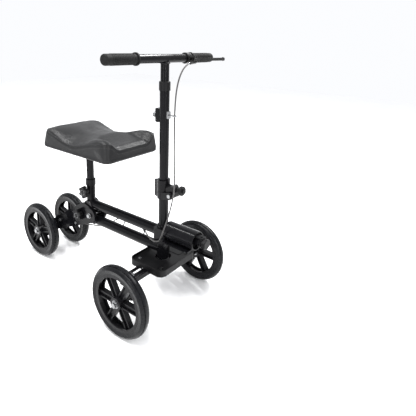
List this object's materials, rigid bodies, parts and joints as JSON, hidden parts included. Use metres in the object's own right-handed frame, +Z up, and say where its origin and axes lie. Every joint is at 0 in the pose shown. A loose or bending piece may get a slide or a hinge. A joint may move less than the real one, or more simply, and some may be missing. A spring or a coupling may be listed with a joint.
{
  "type": "seated knee scooter",
  "caption": "Seated steerable knee scooter: padded seat on an adjustable post, folding T-handlebar column, footrest over the steered front axle, folding rear arm, moulded wheels.",
  "frame": {"origin": "on the ground under the middle of the scooter's length, on the centre plane", "axes": "+X forward towards the nose, +Y to the rider's left, +Z up"},
  "size_m": [0.97, 0.504, 0.923],
  "materials": {
    "painted_tube": "satin black powder coat",
    "moulded_plastic": "fine-textured black moulded plastic",
    "wheel_plastic": "black moulded nylon, light sheen",
    "tyre": "charcoal solid tyre with a soft sheen",
    "zinc_steel": "bright zinc plate",
    "grip_rubber": "soft black rubber",
    "lever_black": "gloss black",
    "seat_vinyl": "charcoal leatherette, a coated fabric over foam",
    "seat_board": "dark plywood",
    "cable_sheath": "grey-taupe cable sheath"
  },
  "bodies": {
    "frame": {"upper_main_tube": "painted_tube", "lower_main_tube": "painted_tube", "head_block": "painted_tube", "head_bearings": "zinc_steel", "front_axle_beam": "painted_tube", "foot_deck": "moulded_plastic", "frame_bolts": "zinc_steel", "nose_tube": "painted_tube", "nose_guide": "moulded_plastic", "rear_bracket": "painted_tube", "seat_tube_collar": "moulded_plastic", "cable_clips": "moulded_plastic", "brake_cable_frame": "cable_sheath"},
    "rear_arm": {"arm_plates": "painted_tube", "rear_axle": "zinc_steel", "brake_housing": "painted_tube", "brake_cable_arm": "cable_sheath"},
    "brake_cam": {"brake_cam": "moulded_plastic"},
    "arm_knob": {"arm_knob": "moulded_plastic"},
    "seat_knob": {"seat_knob": "moulded_plastic"},
    "fold_knob": {"fold_knob": "moulded_plastic"},
    "height_knob": {"height_knob": "zinc_steel"},
    "steerer": {"steering_column": "painted_tube", "lower_fold_block": "painted_tube", "fold_pin": "zinc_steel"},
    "tie_rod": {"tie_rod": "painted_tube"},
    "upper_column": {"upper_fold_block": "painted_tube", "upper_column": "painted_tube", "column_collar": "moulded_plastic", "cable_guide": "zinc_steel", "height_clamp": "painted_tube", "brake_cable_column": "cable_sheath"},
    "handlebar": {"handlebar": "painted_tube", "grip_left": "grip_rubber", "grip_right": "grip_rubber", "lever_bracket": "lever_black", "brake_cable_bar": "cable_sheath"},
    "brake_lever": {"brake_lever": "lever_black"},
    "seat": {"seat_post": "painted_tube", "seat_bolts": "zinc_steel", "seat_board": "seat_board", "seat_pad": "seat_vinyl"},
    "nose_stub": {"nose_stub": "painted_tube", "stub_cap": "moulded_plastic"},
    "knuckle_left": {"knuckle_left": "painted_tube", "knuckle_nuts_left": "zinc_steel"},
    "front_wheel_left": {"front_tyre_left": "tyre", "front_rim_left": "wheel_plastic", "front_bearings_left": "zinc_steel"},
    "rear_wheel_left": {"rear_tyre_left": "tyre", "rear_rim_left": "wheel_plastic", "rear_bearings_left": "zinc_steel"},
    "knuckle_right": {"knuckle_right": "painted_tube", "knuckle_nuts_right": "zinc_steel"},
    "front_wheel_right": {"front_tyre_right": "tyre", "front_rim_right": "wheel_plastic", "front_bearings_right": "zinc_steel"},
    "rear_wheel_right": {"rear_tyre_right": "tyre", "rear_rim_right": "wheel_plastic", "rear_bearings_right": "zinc_steel"}
  },
  "joints": [
    {"name": "steering", "type": "hinge", "parent": "frame", "child": "steerer", "pos_m": [0.291, 0, 0.24], "axis": [0, 0, 1], "range_deg": [-35, 35], "deforming": ["brake_cable_frame"]},
    {"name": "column_fold", "type": "hinge", "parent": "steerer", "child": "upper_column", "pos_m": [0.335, 0, 0.446], "axis": [0, 1, 0], "range_deg": [0, 110], "deforming": ["brake_cable_column"]},
    {"name": "handlebar_height", "type": "slide", "parent": "upper_column", "child": "handlebar", "axis": [0, 0, 1], "range_m": [-0.045, 0.09], "deforming": ["brake_cable_bar"]},
    {"name": "brake_lever_pull", "type": "hinge", "parent": "handlebar", "child": "brake_lever", "pos_m": [0.321, 0.122, 0.901], "axis": [0, 0, 1], "range_deg": [0, 14], "stiffness_Nm_per_rad": 2, "springref_deg": -2.86},
    {"name": "height_knob_turn", "type": "hinge", "parent": "upper_column", "child": "height_knob", "pos_m": [0.25, 0, 0.715], "axis": [1, 0, 0], "continuous": true},
    {"name": "fold_knob_turn", "type": "hinge", "parent": "upper_column", "child": "fold_knob", "pos_m": [0.36, 0, 0.468], "axis": [1, 0, 0], "continuous": true},
    {"name": "tie_rod_swing", "type": "hinge", "parent": "steerer", "child": "tie_rod", "pos_m": [0.246, 0, 0.17], "axis": [0, 0, 1], "range_deg": [-35, 35]},
    {"name": "seat_height", "type": "slide", "parent": "frame", "child": "seat", "axis": [0, 0, 1], "range_m": [-0.05, 0.06]},
    {"name": "seat_knob_pull", "type": "slide", "parent": "frame", "child": "seat_knob", "axis": [0, -1, 0], "range_m": [0, 0.008], "stiffness_N_per_m": 600, "springref_m": -0.004},
    {"name": "arm_fold", "type": "hinge", "parent": "frame", "child": "rear_arm", "pos_m": [-0.083, 0, 0.252], "axis": [0, -1, 0], "range_deg": [0, 110], "deforming": ["brake_cable_arm"]},
    {"name": "arm_knob_pull", "type": "slide", "parent": "rear_arm", "child": "arm_knob", "axis": [0, -1, 0], "range_m": [0, 0.008], "stiffness_N_per_m": 600, "springref_m": -0.004},
    {"name": "brake_cam_turn", "type": "hinge", "parent": "rear_arm", "child": "brake_cam", "pos_m": [-0.335, -0.021, 0.156], "axis": [0, 1, 0], "range_deg": [0, 12]},
    {"name": "nose_stub_slide", "type": "slide", "parent": "frame", "child": "nose_stub", "axis": [1, 0, 0], "range_m": [-0.01, 0.045]},
    {"name": "knuckle_turn_left", "type": "hinge", "parent": "frame", "child": "knuckle_left", "pos_m": [0.291, 0.155, 0.17], "axis": [0, 0, 1], "range_deg": [-35, 35]},
    {"name": "front_wheel_spin_left", "type": "hinge", "parent": "knuckle_left", "child": "front_wheel_left", "pos_m": [0.291, 0.21, 0.126], "axis": [0, 1, 0], "continuous": true},
    {"name": "rear_wheel_spin_left", "type": "hinge", "parent": "rear_arm", "child": "rear_wheel_left", "pos_m": [-0.365, 0.079, 0.12], "axis": [0, 1, 0], "continuous": true},
    {"name": "knuckle_turn_right", "type": "hinge", "parent": "frame", "child": "knuckle_right", "pos_m": [0.291, -0.155, 0.17], "axis": [0, 0, 1], "range_deg": [-35, 35]},
    {"name": "front_wheel_spin_right", "type": "hinge", "parent": "knuckle_right", "child": "front_wheel_right", "pos_m": [0.291, -0.21, 0.126], "axis": [0, 1, 0], "continuous": true},
    {"name": "rear_wheel_spin_right", "type": "hinge", "parent": "rear_arm", "child": "rear_wheel_right", "pos_m": [-0.365, -0.079, 0.12], "axis": [0, 1, 0], "continuous": true}
  ],
  "couplings": [
    {"joint": "knuckle_turn_left", "follows": "steering", "ratio": 1},
    {"joint": "knuckle_turn_right", "follows": "steering", "ratio": 1},
    {"joint": "tie_rod_swing", "follows": "steering", "ratio": -1},
    {"joint": "brake_cam_turn", "follows": "brake_lever_pull", "ratio": 0.8}
  ]
}
